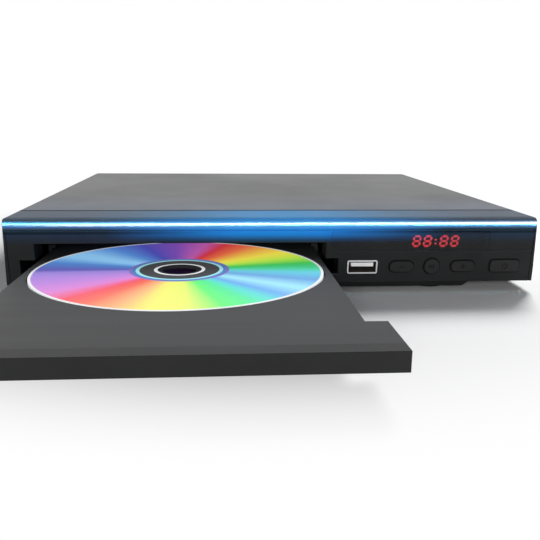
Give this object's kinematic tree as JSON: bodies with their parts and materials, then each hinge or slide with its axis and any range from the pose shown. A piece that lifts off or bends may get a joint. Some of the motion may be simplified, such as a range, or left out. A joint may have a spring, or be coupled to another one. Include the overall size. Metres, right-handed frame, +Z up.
{
  "type": "disc player",
  "caption": "Slim disc player with a sliding T-shaped tray, lit display, USB socket, push buttons and a full loader and pickup mechanism inside.",
  "frame": {"origin": "on the table, at the middle of the whole footprint with the tray partly out as in the picture", "axes": "+X to the right seen from the front, +Y to the back, +Z up"},
  "size_m": [0.2448, 0.355, 0.0342],
  "materials": {
    "steel": "plain zinc-plated sheet",
    "cover_paint": "satin dark grey paint",
    "fascia_gloss": "gloss charcoal moulding",
    "black_plastic": "matt black moulding",
    "button_plastic": "matt charcoal moulding",
    "tray_plastic": "matt dark grey moulding",
    "tray_trim": "matt charcoal moulding",
    "rubber": "black rubber",
    "smoked_window": "smoked clear acrylic",
    "lit_red": "lit red segments",
    "chrome": "bright nickel",
    "white_plastic": "white moulding",
    "nylon": "natural nylon",
    "brass": "turned brass",
    "board_green": "green solder mask",
    "board_tan": "plain phenolic board",
    "chip_black": "moulded packages",
    "capacitor_blue": "sleeved cans",
    "transformer_tape": "taped winding and ferrite",
    "ribbon": "flat ribbon",
    "disc_face": "iridescent data side and clear hub",
    "lens_glass": "coated lens",
    "jack_yellow": "yellow moulding",
    "jack_white": "white moulding",
    "jack_red": "red moulding",
    "zinc": "zinc-plated fastener"
  },
  "bodies": {
    "player": {"bottom_chassis": "steel", "top_cover": "cover_paint", "front_fascia": "fascia_gloss", "feet": "rubber", "cover_screws": "zinc", "display_window": "smoked_window", "display_module": "black_plastic", "display_digits": "lit_red", "ir_receiver": "black_plastic", "front_board": "board_green", "tact_switches": "chip_black", "usb_shell": "chrome", "usb_tongue": "white_plastic", "loader_frame": "black_plastic", "belt": "rubber", "loading_motor": "steel", "clamp_bridge": "steel", "traverse_base": "steel", "grommets": "rubber", "grommet_screws": "zinc", "guide_rods": "chrome", "sled_motor": "steel", "spindle_motor": "steel", "main_board": "board_green", "chips": "chip_black", "capacitors": "capacitor_blue", "power_board": "board_tan", "transformer": "transformer_tape", "front_ribbon": "ribbon", "pickup_ribbon": "ribbon", "frame_screws": "zinc", "board_screws": "zinc", "jack_block": "black_plastic", "jack_barrels": "chrome", "jack_yellow": "jack_yellow", "jack_white": "jack_white", "jack_red": "jack_red", "hdmi_shell": "chrome", "hdmi_tongue": "black_plastic", "mains_inlet": "black_plastic", "inlet_pins": "brass"},
    "tray_unit": {"tray": "tray_plastic", "tray_front": "tray_trim"},
    "disc_unit": {"disc": "disc_face"},
    "flap_unit": {"slot_flap": "black_plastic"},
    "minus_key": {"minus_button": "button_plastic"},
    "play_key": {"play_button": "button_plastic"},
    "plus_key": {"plus_button": "button_plastic"},
    "power_key": {"power_button": "button_plastic"},
    "drive_unit": {"drive_gear": "nylon"},
    "pulley_unit": {"pulley_gear": "nylon"},
    "motor_rotor": {"motor_pulley": "brass"},
    "clamp_unit": {"clamper": "black_plastic", "clamper_magnet": "zinc"},
    "turntable_unit": {"turntable": "black_plastic", "turntable_pad": "rubber"},
    "sled_unit": {"pickup_sled": "black_plastic"},
    "lens_unit": {"lens_holder": "chip_black", "lens": "lens_glass"},
    "screw_unit": {"lead_screw": "chrome"}
  },
  "joints": [
    {"name": "tray_slide", "type": "slide", "parent": "player", "child": "tray_unit", "axis": [0, 1, 0], "range_m": [-0.044, 0.118]},
    {"name": "disc_turn", "type": "hinge", "parent": "tray_unit", "child": "disc_unit", "pos_m": [-0.0425, -0.076, 0.0149], "axis": [0, 0, 1], "continuous": true},
    {"name": "flap_swing", "type": "hinge", "parent": "player", "child": "flap_unit", "pos_m": [-0.0421, -0.0536, 0.0249], "axis": [1, 0, 0], "range_deg": [-90, 34]},
    {"name": "minus_press", "type": "slide", "parent": "player", "child": "minus_key", "axis": [0, 0.9958, 0.0913], "range_m": [0, 0.0006], "stiffness_N_per_m": 1500},
    {"name": "play_press", "type": "slide", "parent": "player", "child": "play_key", "axis": [0, 0.9958, 0.0913], "range_m": [0, 0.0006], "stiffness_N_per_m": 1500},
    {"name": "plus_press", "type": "slide", "parent": "player", "child": "plus_key", "axis": [0, 0.9958, 0.0913], "range_m": [0, 0.0006], "stiffness_N_per_m": 1500},
    {"name": "power_press", "type": "slide", "parent": "player", "child": "power_key", "axis": [0, 0.9958, 0.0913], "range_m": [0, 0.0006], "stiffness_N_per_m": 1500},
    {"name": "drive_turn", "type": "hinge", "parent": "player", "child": "drive_unit", "pos_m": [-0.0075, -0.035, 0.008], "axis": [0, 0, 1], "range_deg": [-286, 757]},
    {"name": "pulley_turn", "type": "hinge", "parent": "player", "child": "pulley_unit", "pos_m": [-0.0291, -0.035, 0.009], "axis": [0, 0, 1], "range_deg": [-2152, 806]},
    {"name": "motor_turn", "type": "hinge", "parent": "player", "child": "motor_rotor", "pos_m": [-0.0645, -0.035, 0.009], "axis": [0, 0, 1], "range_deg": [-6044, 2257]},
    {"name": "turntable_turn", "type": "hinge", "parent": "player", "child": "turntable_unit", "pos_m": [-0.0425, 0.042, 0.009], "axis": [0, 0, 1], "continuous": true},
    {"name": "clamper_turn", "type": "hinge", "parent": "player", "child": "clamp_unit", "pos_m": [-0.0425, 0.042, 0.019], "axis": [0, 0, 1], "continuous": true},
    {"name": "sled_slide", "type": "slide", "parent": "player", "child": "sled_unit", "axis": [0, 1, 0], "range_m": [-0.0055, 0.028]},
    {"name": "lens_focus", "type": "slide", "parent": "sled_unit", "child": "lens_unit", "axis": [0, 0, 1], "range_m": [-0.0004, 0.0004], "stiffness_N_per_m": 60},
    {"name": "screw_turn", "type": "hinge", "parent": "player", "child": "screw_unit", "pos_m": [-0.011, 0.071, 0.0087], "axis": [0, 1, 0], "range_deg": [-665, 3366]}
  ],
  "couplings": [
    {"joint": "flap_swing", "follows": "tray_slide", "rad_per_m": -13},
    {"joint": "drive_turn", "follows": "tray_slide", "rad_per_m": 111.11},
    {"joint": "pulley_turn", "follows": "tray_slide", "rad_per_m": -317.46},
    {"joint": "motor_turn", "follows": "tray_slide", "rad_per_m": -893.12},
    {"joint": "clamper_turn", "follows": "turntable_turn", "ratio": 1},
    {"joint": "screw_turn", "follows": "sled_slide", "rad_per_m": 2094.4}
  ]
}
